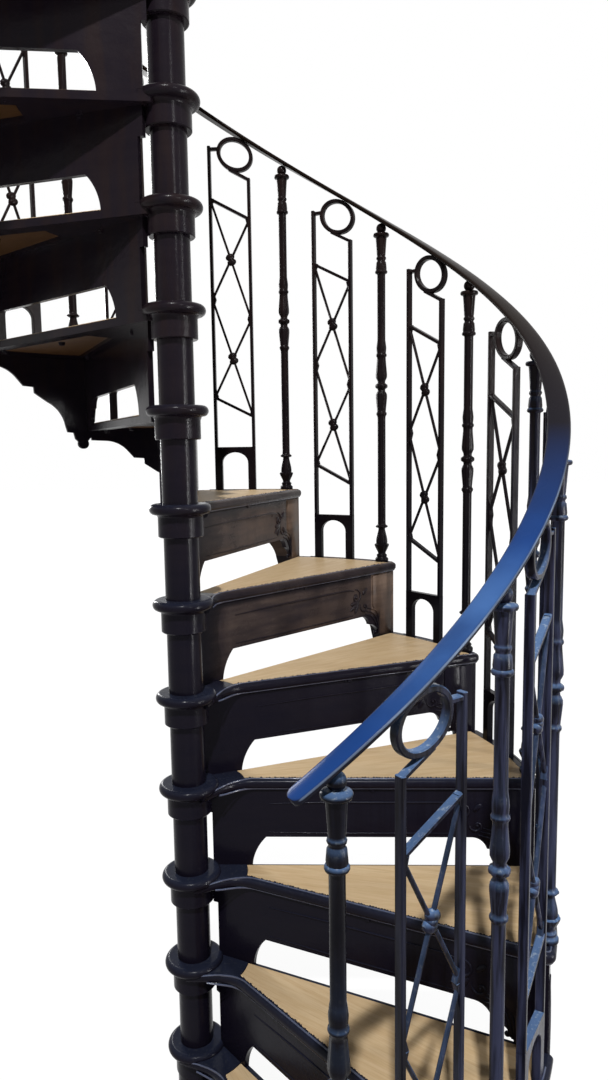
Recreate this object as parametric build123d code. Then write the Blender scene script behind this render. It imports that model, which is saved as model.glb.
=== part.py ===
"""Cast-iron spiral staircase: one storey of wedge treads stacked round a centre post,
with open risers, outer brackets, turned balusters, lattice rail panels and a flat handrail.

Origin: centre of the base flange's underside, on the floor.  +Z is up.
The stair climbs counter-clockwise seen from above.  Millimetres and degrees.

Each tread has its own frame: origin on the post's axis at the height of the tread's top,
+X out along the tread's front, +Y towards its back.  Pieces are drawn once in that frame
and set at every step.
"""
from build123d import *
import os
from math import asin, atan, atan2, cos, degrees, hypot, pi, radians, sin, sqrt

# ------------------------------------------------------------------ driving sizes
TREADS = 13
RISE = 200.0
TREAD_ANGLE = 23.5            # turn from one tread to the next
FIRST_ANGLE = -74.0           # direction of the first tread's X axis
CLEAR = 0.3                   # running gap between pieces that slide together
FIT = 0.05                    # gap between pieces that are set side by side

POST_R = 30.0
SHAFT_WALL = 6.2              # plain sleeve between two hubs
BASE_SHAFT_WALL = 13.2        # thicker sleeve under the first hub
HUB_BAND_WALL = 16.7          # straight band below the hub's moulding
HUB_RIM_PROUD = 17.0          # the moulding stands this far out from the band
HUB_RIM_HEIGHT = 22.0
HUB_RIM_TOP = 10.0            # the moulding stands this far above the tread
HUB_DEPTH = 59.0              # from the tread's top to the bottom of the band

FLANGE_R = 115.0
FLANGE_T = 16.0
FLANGE_HUB_WALL = 14.5        # round the thicker sleeve
FLANGE_HUB_TOP = 40.0
FLANGE_COVE = 12.0
BOLT_CIRCLE_R = 88.0
BOLT_HOLE_R = 7.0
BOLTS = 4
POST_SEAT = 6.0               # floor of the socket that the post stands in

TREAD_R = 763.0
TREAD_T = 22.0
TREAD_CORNER_R = 18.0
NOSING_OFFSET = 25.0          # the tread's front lies this far behind the post's axis
NOSING_START = 140.0          # the front is straight from here outwards
NOSING_TANGENT = -52.0        # where the front's sweep leaves the hub, on the rim
NOSING_WIDTH = 15.0           # metal in front of the boards
NOSING_ROUND = 9.5
BOARD_T = 14.0
BOARD_INSET = 25.0            # metal outside the boards
BOARD_INNER_R = 122.0
BOARD_BEARING = 24.0          # width of the ledge that the boards lie on
BOARD_SOLE = 140.0            # the ledge is wider near the hub, by this
LEDGE_DROP = 6.0              # the back ledge, which carries the next riser, lies lower

RISER_SETBACK = 10.0          # from the nosing's front to the riser's face
RISER_T = 12.0
RISER_SLOT = 6.5              # between the riser and the plain sleeve
RISER_BAND = 135.0            # underside of the riser's solid band, below the tread
RISER_INNER_FOOT = 130.0
RISER_INNER_SHOULDER = 162.0
RISER_OUTER_LEG = 50.0
RISER_OUTER_SHOULDER = 100.0
RISER_ROUND = 26.0            # rounding of the opening's outer shoulder
SLOT_TOP = -78.0              # top of the slot between the riser and the post

BRACKET_INSET = 11.0          # from the tread's outer edge
BRACKET_T = 8.0

BALUSTER_INSET = 16.0         # from the tread's outer edge to the baluster's middle
BALUSTER_ANGLE = 5.4          # from the tread's X axis
BALUSTER_FOOT_R = 18.0
BALL_R = 13.5
BALL_CENTRE = 907.0           # above the tread

PANEL_INSET = 18.4            # from the tread's outer edge to the middle of its posts
PANEL_REAR_GAP = 1.9          # degrees from the rear post to the next tread's X axis
PANEL_SPAN = 8.7              # degrees from post to post
PANEL_T = 16.0
PANEL_POST_W = 9.0
PANEL_BAR_W = 8.0
PANEL_ROD_W = 6.5
PANEL_ROD_T = 9.0
PANEL_FRONT_TOP = 893.0
PANEL_REAR_TOP = 985.0
PANEL_UPPER_FRONT = 780.0     # the two sloping bars, at the front and the rear post
PANEL_UPPER_REAR = 840.0
PANEL_LOWER_FRONT = 217.0
PANEL_LOWER_REAR = 274.0
PANEL_FOOT_TOP = 127.6
PANEL_ARCH_W = 77.0
PANEL_ARCH_CROWN = 16.0
PANEL_ARCH_RISE = 0.8         # height of the arch over half its width
RING_LONG = 55.0              # half sizes of the oval ring, long way parallel to the handrail
RING_SHORT = 44.5
RING_BAND = 10.5
RING_SHIFT = 18.0             # towards the front post
ROSETTE_R = 11.5
ROSETTE_T = 14.0

RAIL_INSET = 19.0             # from the tread's outer edge to the rail's middle
RAIL_W = 40.0
RAIL_T = 11.0
RAIL_OVERHANG = 4.4           # degrees past the first baluster and past the last panel post
RAIL_END_R = 12.0

NEWEL_TOP = 1010.0            # end of the top sleeve, above the last tread
CAP_PROUD = 11.0              # the cap's collar stands this far out from a hub's band
CAP_BALL_R = 44.0

# ------------------------------------------------------------------ worked-out sizes
BORE_R = POST_R + CLEAR
SHAFT_R = BORE_R + SHAFT_WALL
BASE_SHAFT_R = BORE_R + BASE_SHAFT_WALL
FLANGE_HUB_R = BASE_SHAFT_R + FLANGE_HUB_WALL
HUB_BAND_R = BORE_R + HUB_BAND_WALL
HUB_RIM_R = HUB_BAND_R + HUB_RIM_PROUD
CAP_R = HUB_BAND_R + CAP_PROUD
BOARD_R = TREAD_R - BOARD_INSET
BRACKET_R = TREAD_R - BRACKET_INSET
BALUSTER_R = TREAD_R - BALUSTER_INSET
PANEL_R = TREAD_R - PANEL_INSET
RAIL_R = TREAD_R - RAIL_INSET
PANEL_REAR_ANGLE = TREAD_ANGLE - PANEL_REAR_GAP
PANEL_FRONT_ANGLE = PANEL_REAR_ANGLE - PANEL_SPAN
RISER_INNER = SHAFT_R + RISER_SLOT
RISER_FACE = NOSING_OFFSET + RISER_SETBACK
RISER_BACK = RISER_FACE + RISER_T
BRACKET_INNER_R = BRACKET_R - BRACKET_T
PLATE_END_R = BRACKET_INNER_R - CLEAR
STAIR_TURN = (TREADS - 1) * TREAD_ANGLE
BRACKET_START = degrees(asin(RISER_FACE / BRACKET_R))
CLIMB = RISE / (radians(TREAD_ANGLE) * PANEL_R)      # the handrail's rise for each mm along
SLOPE = sqrt(1 + CLIMB**2)                           # its length for each mm along
RAIL_UNDERSIDE = BALL_CENTRE + (BALL_R + CLEAR) * SLOPE   # over a baluster


def polar(radius, angle):
    """A point at a radius and an angle in degrees."""
    return (radius * cos(radians(angle)), radius * sin(radians(angle)))


def behind(x, y, angle=TREAD_ANGLE):
    """A point given in the next tread's frame, in this tread's frame."""
    c, s = cos(radians(angle)), sin(radians(angle))
    return (x * c - y * s, x * s + y * c)


def on_circle(radius, y):
    """X of the point on a circle at a given Y."""
    return sqrt(radius**2 - y**2)


def place(shape, step, lift=0.0):
    """The shape moved from the tread's frame to its step; steps count from 1."""
    turn = FIRST_ANGLE + (step - 1) * TREAD_ANGLE
    return Pos(0, 0, RISE * step + lift) * Rot(0, 0, turn) * shape


# ------------------------------------------------------------------ centre post
def base_flange():
    """Floor flange with a coved hub, the post's socket and four bolt holes."""
    edge, lip = 4, 3
    cove_r = FLANGE_HUB_R + FLANGE_COVE
    profile = make_face([
        Polyline((0, 0), (FLANGE_R, 0), (FLANGE_R, FLANGE_T - edge),
                 (FLANGE_R - edge, FLANGE_T), (cove_r, FLANGE_T)),
        RadiusArc((cove_r, FLANGE_T), (FLANGE_HUB_R, FLANGE_T + FLANGE_COVE), FLANGE_COVE),
        Polyline((FLANGE_HUB_R, FLANGE_T + FLANGE_COVE), (FLANGE_HUB_R, FLANGE_HUB_TOP - lip),
                 (FLANGE_HUB_R - lip, FLANGE_HUB_TOP), (BORE_R, FLANGE_HUB_TOP),
                 (BORE_R, POST_SEAT), (0, POST_SEAT), (0, 0)),
    ])
    solid = revolve(Plane.XZ * profile, Axis.Z)
    holes = PolarLocations(BOLT_CIRCLE_R, BOLTS, start_angle=45) * Cylinder(BOLT_HOLE_R, 3 * FLANGE_T)
    return solid - holes


def centre_post():
    """Round post from the flange's socket to the newel cap."""
    height = TREADS * RISE + NEWEL_TOP - POST_SEAT
    return Pos(0, 0, POST_SEAT + height / 2) * Cylinder(POST_R, height)


def tube(radius, bottom, top):
    """Plain sleeve round the post."""
    ring = Circle(radius) - Circle(BORE_R)
    return Pos(0, 0, bottom) * extrude(ring, top - bottom)


def newel_sleeves():
    """The sleeves that space the hubs: a thick one at the base and a long one at the top."""
    sleeves = [tube(BASE_SHAFT_R, FLANGE_HUB_TOP, RISE - HUB_DEPTH)]
    for step in range(1, TREADS):
        sleeves.append(tube(SHAFT_R, step * RISE + HUB_RIM_TOP, (step + 1) * RISE - HUB_DEPTH))
    sleeves.append(tube(SHAFT_R, TREADS * RISE + HUB_RIM_TOP, TREADS * RISE + NEWEL_TOP))
    return sleeves


def newel_cap():
    """Turned collar and ball that close the top of the newel."""
    seat = TREADS * RISE + NEWEL_TOP
    neck_r = SHAFT_R - 8
    neck_root_r = neck_r + 4
    collar_top, neck_top, neck_curve = 22, 38, 24
    ball_z = neck_top + sqrt(CAP_BALL_R**2 - neck_r**2)
    profile = make_face([
        Polyline((0, 0), (HUB_BAND_R, 0)),
        ThreePointArc((HUB_BAND_R, 0), (CAP_R, collar_top / 2), (HUB_BAND_R, collar_top)),
        Line((HUB_BAND_R, collar_top), (neck_root_r, collar_top)),
        RadiusArc((neck_root_r, collar_top), (neck_r, neck_top), -neck_curve),
        ThreePointArc((neck_r, neck_top), (CAP_BALL_R, ball_z), (0, ball_z + CAP_BALL_R)),
        Line((0, ball_z + CAP_BALL_R), (0, 0)),
    ])
    return Pos(0, 0, seat) * revolve(Plane.XZ * profile, Axis.Z)


# ------------------------------------------------------------------ treads
def hub():
    """Hub of a tread: straight band, cove and half-round moulding, bored for the post."""
    edge, cove, cove_r = 2, 6, 7
    rim_bottom = HUB_RIM_TOP - HUB_RIM_HEIGHT
    rim_root = HUB_RIM_R - HUB_RIM_HEIGHT / 2
    rim_middle = (HUB_RIM_TOP + rim_bottom) / 2
    profile = make_face([
        Polyline((BORE_R, -HUB_DEPTH), (HUB_BAND_R - edge, -HUB_DEPTH),
                 (HUB_BAND_R, -HUB_DEPTH + edge), (HUB_BAND_R, rim_bottom - cove)),
        RadiusArc((HUB_BAND_R, rim_bottom - cove), (rim_root, rim_bottom), cove_r),
        ThreePointArc((rim_root, rim_bottom), (HUB_RIM_R, rim_middle), (rim_root, HUB_RIM_TOP)),
        Polyline((rim_root, HUB_RIM_TOP), (BORE_R, HUB_RIM_TOP), (BORE_R, -HUB_DEPTH)),
    ])
    return revolve(Plane.XZ * profile, Axis.Z)


def tread_outline():
    """Plan of the tread plate: swept front, rounded corner, outer arc and back edge."""
    inside_rim, inside_back = 6, 14
    tangent_at = polar(HUB_RIM_R - inside_rim, NOSING_TANGENT)
    leave = (-sin(radians(NOSING_TANGENT)), cos(radians(NOSING_TANGENT)))
    start = (NOSING_START, NOSING_OFFSET)
    corner_y = NOSING_OFFSET + TREAD_CORNER_R
    corner_x = on_circle(TREAD_R - TREAD_CORNER_R, corner_y)
    round_from = (corner_x, NOSING_OFFSET)
    corner_turn = degrees(atan2(corner_y, corner_x))
    round_to = polar(TREAD_R, corner_turn)
    middle_turn = radians((corner_turn - 90) / 2)
    round_mid = (corner_x + TREAD_CORNER_R * cos(middle_turn),
                 corner_y + TREAD_CORNER_R * sin(middle_turn))
    edge_end = TREAD_ANGLE + BRACKET_START - degrees(FIT / BRACKET_R)
    back_turn = TREAD_ANGLE + degrees(asin(RISER_BACK / PLATE_END_R))
    edge_mid = (corner_turn + edge_end) / 2
    back_hub = behind(on_circle(HUB_RIM_R, RISER_BACK) - inside_back, RISER_BACK)
    return make_face([
        Spline(tangent_at, start, tangents=[leave, (1, 0)]),
        Line(start, round_from),
        ThreePointArc(round_from, round_mid, round_to),
        ThreePointArc(round_to, polar(TREAD_R, edge_mid), polar(TREAD_R, edge_end)),
        Line(polar(TREAD_R, edge_end), polar(PLATE_END_R, edge_end)),
        ThreePointArc(polar(PLATE_END_R, edge_end),
                      polar(PLATE_END_R, (edge_end + back_turn) / 2),
                      polar(PLATE_END_R, back_turn)),
        Line(polar(PLATE_END_R, back_turn), back_hub),
        Line(back_hub, (0, 0)),
        Line((0, 0), tangent_at),
    ])


def board_outline(gap, sole=0.0):
    """Plan of the boards, smaller all round by a gap, and shorter near the hub by a sole."""
    front = NOSING_OFFSET + NOSING_WIDTH + gap
    outer = BOARD_R - gap
    inner = BOARD_INNER_R + gap + sole
    back = RISER_FACE - CLEAR - gap
    front_in, front_out = on_circle(inner, front), on_circle(outer, front)
    back_in, back_out = behind(on_circle(inner, back), back), behind(on_circle(outer, back), back)
    turn_out = (degrees(atan2(front, front_out)) + degrees(atan2(back_out[1], back_out[0]))) / 2
    turn_in = (degrees(atan2(front, front_in)) + degrees(atan2(back_in[1], back_in[0]))) / 2
    return make_face([
        Line((front_in, front), (front_out, front)),
        ThreePointArc((front_out, front), polar(outer, turn_out), back_out),
        Line(back_out, back_in),
        ThreePointArc(back_in, polar(inner, turn_in), (front_in, front)),
    ])


def tread():
    """One tread casting: a nosed frame with a ledge for the boards, a back ledge and its hub."""
    plate = Pos(0, 0, -TREAD_T) * extrude(tread_outline(), TREAD_T)
    nosing = [edge for edge in plate.edges().filter_by(Plane.XY) if is_nosing(edge)]
    plate = fillet(nosing, min(NOSING_ROUND, 0.45 * TREAD_T))
    pocket = Pos(0, 0, -BOARD_T) * extrude(board_outline(0), TREAD_T)
    window = Pos(0, 0, -2 * TREAD_T) * extrude(board_outline(BOARD_BEARING, BOARD_SOLE), 2 * TREAD_T)
    reach = 2 * TREAD_R
    ledge_start = on_circle(HUB_RIM_R, RISER_FACE)
    ledge_cut = Rot(0, 0, TREAD_ANGLE) * (
        Pos(ledge_start + reach / 2, RISER_FACE - CLEAR + reach / 2, -LEDGE_DROP + reach / 2)
        * Box(reach, reach, reach))
    bore = Cylinder(BORE_R, 4 * HUB_DEPTH)
    return (plate - pocket - window - ledge_cut + hub()) - bore


def is_nosing(edge):
    """True for the plate's edges that are rounded: the sweep, the front and the outer arc."""
    middle = edge.position_at(0.5)
    radius = hypot(middle.X, middle.Y)
    corner_turn = degrees(TREAD_CORNER_R / TREAD_R)
    turn = degrees(atan2(middle.Y, middle.X))
    near = 0.01
    front = abs(middle.Y - NOSING_OFFSET) < near and middle.X > NOSING_START
    corner = turn < 3 * corner_turn and radius > TREAD_R - TREAD_CORNER_R
    outer = abs(radius - TREAD_R) < near
    sweep = HUB_RIM_R < radius < NOSING_START and middle.Y < NOSING_OFFSET
    return front or corner or outer or sweep


def boards():
    """The boards of one tread, as one flush infill."""
    return Pos(0, 0, -BOARD_T) * extrude(board_outline(CLEAR), BOARD_T)


# ------------------------------------------------------------------ risers
def riser(foot, seats):
    """Open riser: a solid band on two legs, with a slot left beside the post.

    seats are the rings on the post that the inner leg steps over, lowest first,
    each as a radius and the height of its top.
    """
    top, opening_top = -TREAD_T, -RISER_BAND
    middle = (foot + opening_top) / 2
    outer = on_circle(BRACKET_INNER_R - CLEAR, RISER_BACK)
    inner_top = on_circle(HUB_BAND_R + FIT, RISER_FACE)
    leg_in = outer - RISER_OUTER_LEG
    shoulder_in = outer - RISER_OUTER_SHOULDER
    steps, level = [], foot
    for radius, seat_top in seats:
        edge = max(on_circle(radius + CLEAR, RISER_FACE), RISER_INNER)
        steps += [(edge, level), (edge, seat_top + CLEAR)]
        level = seat_top + CLEAR
    steps.append((RISER_INNER, level))
    leg_curve, inner_curve, shoulder_curve = 12, 8, 7
    shoulder_low = (shoulder_in + leg_curve / 2, opening_top - RISER_ROUND)
    shoulder_high = (shoulder_in - RISER_ROUND, opening_top)
    outline = make_face([
        Polyline((inner_top, top), (outer, top), (outer, foot), (leg_in, foot)),
        ThreePointArc((leg_in, foot), (leg_in - leg_curve, middle - inner_curve), shoulder_low),
        ThreePointArc(shoulder_low, (shoulder_in - shoulder_curve, opening_top - shoulder_curve),
                      shoulder_high),
        Line(shoulder_high, (RISER_INNER_SHOULDER, opening_top)),
        ThreePointArc((RISER_INNER_SHOULDER, opening_top),
                      (RISER_INNER_FOOT + inner_curve, middle), (RISER_INNER_FOOT, foot)),
        Polyline((RISER_INNER_FOOT, foot), *steps, (RISER_INNER, SLOT_TOP),
                 (inner_top, SLOT_TOP), (inner_top, top)),
    ])
    return extrude(Plane.XZ.offset(-RISER_FACE) * outline, -RISER_T)


# ------------------------------------------------------------------ brackets
def bracket_outline():
    """A bracket's face, unrolled: distance along the outer arc from the riser, and height.

    The points are drawn for one run and one rise, and stretch with the stair's own.
    """
    drawn_run, drawn_rise = 308.4346, 200.0
    run = radians(TREAD_ANGLE) * BRACKET_R

    def at(along, height):
        return (along * run / drawn_run, height * RISE / drawn_rise)

    return make_face([
        Polyline((0, -TREAD_T), at(0, -236), at(12, -250)),
        ThreePointArc(at(12, -250), at(25, -272), at(38, -252)),
        Polyline(at(38, -252), at(46, -244), at(50, -227), at(67, -225), at(72, -207)),
        ThreePointArc(at(72, -207), at(88, -168), at(120, -142)),
        Polyline(at(120, -142), at(156, -118), at(157, -102), at(186, -100), at(207, -76)),
        ThreePointArc(at(207, -76), at(234, -57), at(266, -50)),
        Polyline(at(266, -50), at(drawn_run, -48), (run, -TREAD_T), (0, -TREAD_T)),
    ])


def bracket(depth):
    """Curved bracket under a tread's outer edge, deepest at the riser, with a drop at its foot."""
    half = TREAD_ANGLE / 2
    ring = make_face([
        Line(polar(BRACKET_INNER_R, -half), polar(BRACKET_R, -half)),
        ThreePointArc(polar(BRACKET_R, -half), (BRACKET_R, 0), polar(BRACKET_R, half)),
        Line(polar(BRACKET_R, half), polar(BRACKET_INNER_R, half)),
        ThreePointArc(polar(BRACKET_INNER_R, half), (BRACKET_INNER_R, 0),
                      polar(BRACKET_INNER_R, -half)),
    ])
    shell = Pos(0, 0, -depth) * extrude(ring, depth - TREAD_T)
    outline = Pos(-radians(half) * BRACKET_R, 0, 0) * bracket_outline()
    reach = BRACKET_R / 12
    outside = Plane(origin=(BRACKET_R - reach, 0, 0), x_dir=(0, 1, 0), z_dir=(1, 0, 0))
    piece = shell & extrude(outside * outline, 2 * reach)
    return Rot(0, 0, BRACKET_START + half + degrees(FIT / BRACKET_R)) * piece


# ------------------------------------------------------------------ balusters
def baluster():
    """Turned baluster: foot, vase, shaft with a middle ornament, cuff, capital and ball.

    The profile is a list of radii and heights above the tread, from the foot upwards.
    """
    shaft, neck, ball_root = 11.0, 11.5, 8.0
    ball_low = BALL_CENTRE - sqrt(BALL_R**2 - ball_root**2)
    profile = make_face([
        Polyline((0, 0), (BALUSTER_FOOT_R, 0), (BALUSTER_FOOT_R, 13), (15, 19), (neck, 22)),
        Spline((neck, 22), (22.5, 40), (14, 66), (9.5, 90)),
        Polyline((9.5, 90), (9.5, 96), (16.5, 98), (16.5, 103), (shaft, 106), (shaft, 385)),
        Spline((shaft, 385), (14.5, 408), (neck, 418)),
        Polyline((neck, 418), (15, 420), (15, 425), (neck, 428)),
        Spline((neck, 428), (15, 452), (shaft, 480)),
        Polyline((shaft, 480), (16.5, 483), (16.5, 495), (shaft, 498)),
        Spline((shaft, 498), (15, 530), (neck, 566)),
        Polyline((neck, 566), (15.5, 572), (15.5, 578), (neck, 582)),
        Spline((neck, 582), (14.5, 592), (shaft, 615)),
        Polyline((shaft, 615), (shaft, 790), (14.5, 797), (14.5, 818), (10.5, 826), (13.2, 829),
                 (13.2, 833), (neck, 836), (15, 884), (21.5, 887), (21.5, 894), (ball_root, 896)),
        Line((ball_root, 896), (ball_root, ball_low)),
        ThreePointArc((ball_root, ball_low), (BALL_R, BALL_CENTRE), (0, BALL_CENTRE + BALL_R)),
        Line((0, BALL_CENTRE + BALL_R), (0, 0)),
    ])
    x, y = polar(BALUSTER_R, BALUSTER_ANGLE)
    return Pos(x, y, 0) * revolve(Plane.XZ * profile, Axis.Z)


# ------------------------------------------------------------------ rail panels
def bar(start, end, width):
    """Flat bar between two points of the panel's face."""
    dx, dy = end[0] - start[0], end[1] - start[1]
    middle = ((start[0] + end[0]) / 2, (start[1] + end[1]) / 2)
    return Pos(*middle) * Rot(0, 0, degrees(atan2(dy, dx))) * Rectangle(hypot(dx, dy), width)


def post(across, top):
    """Flat post of a panel, from the arched foot upwards."""
    return Pos(across, (top + PANEL_FOOT_TOP) / 2) * Rectangle(PANEL_POST_W, top - PANEL_FOOT_TOP)


def arched_foot(half):
    """Foot of a panel: a plate under both posts with an arch cut in it."""
    plate = Pos(0, PANEL_FOOT_TOP / 2) * Rectangle(2 * half + PANEL_POST_W, PANEL_FOOT_TOP)
    arch_r = PANEL_ARCH_W / 2
    arch_top = PANEL_FOOT_TOP - PANEL_ARCH_CROWN
    spring = arch_top - arch_r * PANEL_ARCH_RISE
    arch = make_face([
        Polyline((-arch_r, spring), (-arch_r, -1), (arch_r, -1), (arch_r, spring)),
        ThreePointArc((arch_r, spring), (0, arch_top), (-arch_r, spring)),
    ])
    return plate - arch


def ring_centre():
    """Centre of the panel's ring, on the panel's face: it just clears the handrail's underside."""
    middle_turn = (PANEL_FRONT_ANGLE + PANEL_REAR_ANGLE) / 2
    ring_turn = middle_turn - degrees(RING_SHIFT / PANEL_R)
    underside = RAIL_UNDERSIDE + RISE * (ring_turn - BALUSTER_ANGLE) / TREAD_ANGLE
    return (-RING_SHIFT, underside - (RING_SHORT + CLEAR) * SLOPE)


def rail_panel():
    """Lattice panel: two posts on an arched foot, sloping bars, two crosses and an oval ring."""
    half_turn = radians(PANEL_REAR_ANGLE - PANEL_FRONT_ANGLE) / 2
    half = PANEL_R * sin(half_turn)
    ring_x, ring_z = ring_centre()
    ring_at = Pos(ring_x, ring_z) * Rot(0, 0, degrees(atan(CLIMB)))
    hole = Ellipse(RING_LONG - RING_BAND, RING_SHORT - RING_BAND)
    flank = ring_z - RING_SHORT + RING_BAND / 2
    shoulder_front = PANEL_FRONT_TOP - PANEL_BAR_W / 2
    shoulder_rear = PANEL_REAR_TOP - PANEL_BAR_W
    frame = (post(-half, PANEL_FRONT_TOP) + post(half, PANEL_REAR_TOP) + arched_foot(half)
             + bar((-half, shoulder_front), (0, flank), PANEL_BAR_W)
             + bar((half, shoulder_rear), (ring_x + RING_SHORT, shoulder_rear), PANEL_BAR_W)
             + bar((-half, PANEL_UPPER_FRONT), (half, PANEL_UPPER_REAR), PANEL_BAR_W)
             + bar((-half, PANEL_LOWER_FRONT), (half, PANEL_LOWER_REAR), PANEL_BAR_W)
             + ring_at * Ellipse(RING_LONG, RING_SHORT)) - ring_at * hole
    middle_front = (PANEL_UPPER_FRONT + PANEL_LOWER_FRONT) / 2
    middle_rear = (PANEL_UPPER_REAR + PANEL_LOWER_REAR) / 2
    rods = (bar((-half, PANEL_UPPER_FRONT), (half, middle_rear), PANEL_ROD_W)
            + bar((half, PANEL_UPPER_REAR), (-half, middle_front), PANEL_ROD_W)
            + bar((half, middle_rear), (-half, PANEL_LOWER_FRONT), PANEL_ROD_W)
            + bar((-half, middle_front), (half, PANEL_LOWER_REAR), PANEL_ROD_W))
    cross_high = (PANEL_UPPER_FRONT + middle_rear + PANEL_UPPER_REAR + middle_front) / 4
    cross_low = (PANEL_LOWER_FRONT + middle_rear + PANEL_LOWER_REAR + middle_front) / 4
    rosettes = Pos(0, cross_high) * Circle(ROSETTE_R) + Pos(0, cross_low) * Circle(ROSETTE_R)
    solid = (extrude(frame, PANEL_T / 2, both=True) + extrude(rods, PANEL_ROD_T / 2, both=True)
             + extrude(rosettes, ROSETTE_T / 2, both=True))
    turn = radians(PANEL_FRONT_ANGLE + PANEL_REAR_ANGLE) / 2
    x, y = PANEL_R * cos(half_turn) * cos(turn), PANEL_R * cos(half_turn) * sin(turn)
    stand = Plane(origin=(x, y, 0), x_dir=(-sin(turn), cos(turn), 0),
                  z_dir=(cos(turn), sin(turn), 0))
    return stand.location * solid


# ------------------------------------------------------------------ handrail
def handrail():
    """Flat strip on a helix over the balusters and rings, with rounded corners at its ends."""
    start = FIRST_ANGLE + BALUSTER_ANGLE - RAIL_OVERHANG
    end = FIRST_ANGLE + STAIR_TURN + PANEL_REAR_ANGLE + RAIL_OVERHANG
    turn = end - start
    pitch = RISE * 360 / TREAD_ANGLE
    bottom = RISE + RAIL_UNDERSIDE - RISE * RAIL_OVERHANG / TREAD_ANGLE
    path = Helix(pitch=pitch, height=pitch * turn / 360, radius=RAIL_R)
    slope = atan2(pitch, 2 * pi * RAIL_R)
    section_plane = Plane(origin=(RAIL_R, 0, 0), x_dir=(1, 0, 0), z_dir=(0, cos(slope), sin(slope)))
    section = section_plane * Pos(0, -RAIL_T / 2) * Rectangle(RAIL_W, RAIL_T)
    strip = sweep(section, path=path, is_frenet=True)
    strip = fillet(end_corners(strip), RAIL_END_R)
    return Pos(0, 0, bottom) * Rot(0, 0, start) * strip


def end_corners(strip):
    """The four short upright edges at the strip's two ends."""
    return [edge for edge in strip.edges() if edge.length < RAIL_T * 1.01]


# ------------------------------------------------------------------ build
def save(name, shapes):
    """Write one node: one solid, or several that do not touch."""
    solids = []
    for shape in shapes if isinstance(shapes, list) else [shapes]:
        solids.extend(shape.solids())
    node = solids[0] if len(solids) == 1 else Compound(children=solids)
    export_step(node, os.path.join("parts", name + ".step"))


def main():
    os.makedirs("parts", exist_ok=True)
    one_tread, one_board, one_baluster, one_panel = tread(), boards(), baluster(), rail_panel()
    one_bracket, first_bracket = bracket(2 * RISE), bracket(RISE)
    one_riser = riser(-RISE - LEDGE_DROP, [(HUB_RIM_R, -RISE + HUB_RIM_TOP)])
    first_riser = riser(-RISE, [(FLANGE_R, -RISE + FLANGE_T),
                                (FLANGE_HUB_R + FLANGE_COVE, -RISE + FLANGE_T + FLANGE_COVE),
                                (FLANGE_HUB_R, -RISE + FLANGE_HUB_TOP)])
    steps = range(1, TREADS + 1)

    save("base_flange", base_flange())
    save("centre_post", centre_post())
    save("newel_sleeves", newel_sleeves())
    save("newel_cap", newel_cap())
    for step in steps:
        save(f"tread_{step:02d}", place(one_tread, step))
        save(f"riser_{step:02d}", place(first_riser if step == 1 else one_riser, step))
        save(f"rail_panel_{step:02d}", place(one_panel, step))
    save("tread_boards", [place(one_board, step) for step in steps])
    save("side_brackets", [place(first_bracket if step == 1 else one_bracket, step) for step in steps])
    save("balusters", [place(one_baluster, step) for step in steps])
    save("handrail", handrail())


main()
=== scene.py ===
"""Looks of a cast-iron spiral staircase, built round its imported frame.

The hubs, treads, risers, brackets and newel keep their CAD shapes and get gloss paint.
The balusters, rail panels, handrail and boards are finished pieces that stand for their
plain CAD nodes.  The risers get their pilasters and scrolls, the nosings their beads and
teeth, the brackets their beads, and the undersides and the base their bolts.

Lengths are metres.  A tread's own frame has its origin on the newel's axis at the height
of the tread's top, X out along its front edge and Y towards its back.  A panel's own frame
has U along the panel towards its rear post, Z up and D outwards.
"""
import math

import bmesh
import bpy
from mathutils import Matrix, Vector


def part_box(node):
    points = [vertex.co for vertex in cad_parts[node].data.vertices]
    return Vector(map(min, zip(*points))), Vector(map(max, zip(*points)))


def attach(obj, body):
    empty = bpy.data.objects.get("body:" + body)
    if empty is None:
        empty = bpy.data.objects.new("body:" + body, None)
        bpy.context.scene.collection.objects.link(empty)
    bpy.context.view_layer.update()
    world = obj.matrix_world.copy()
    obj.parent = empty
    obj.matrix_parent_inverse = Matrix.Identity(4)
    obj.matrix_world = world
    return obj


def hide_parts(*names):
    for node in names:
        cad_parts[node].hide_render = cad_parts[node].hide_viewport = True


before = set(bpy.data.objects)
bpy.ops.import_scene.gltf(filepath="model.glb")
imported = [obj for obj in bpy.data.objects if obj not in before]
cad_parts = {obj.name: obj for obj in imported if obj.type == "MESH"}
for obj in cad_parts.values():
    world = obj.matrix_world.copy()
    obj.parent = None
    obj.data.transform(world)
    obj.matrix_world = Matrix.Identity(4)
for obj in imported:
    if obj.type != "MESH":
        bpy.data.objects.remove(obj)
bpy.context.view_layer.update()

# ---------------------------------------------------------------- sizes
TREADS = sum(name.startswith("tread_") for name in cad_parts) - 1     # less tread_boards
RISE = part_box("riser_03")[1].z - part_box("riser_02")[1].z
TREAD_ANGLE = math.radians(23.5)
FIRST_ANGLE = math.radians(-74.0)

HUB_RIM_R = 0.064
TREAD_R = 0.763
TREAD_T = 0.022
NOSING_OFFSET = 0.025
NOSING_WIDTH = 0.015
NOSING_START = 0.140
NOSING_TANGENT = math.radians(-52)
TREAD_CORNER_R = 0.018
BOARD_T = 0.014
BOARD_R = 0.738
BOARD_INNER_R = 0.122
BOARD_GAP = 0.0005
RISER_FACE = 0.035
RISER_T = 0.012
RISER_BAND = 0.135
RISER_OUTER = 0.741
BRACKET_R = 0.752

BALUSTER_R = 0.747
BALUSTER_ANGLE = math.radians(5.4)
BALL_R = 0.0135
BALL_ROOT_R = 0.0080
BALL_CENTRE = 0.907

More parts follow.
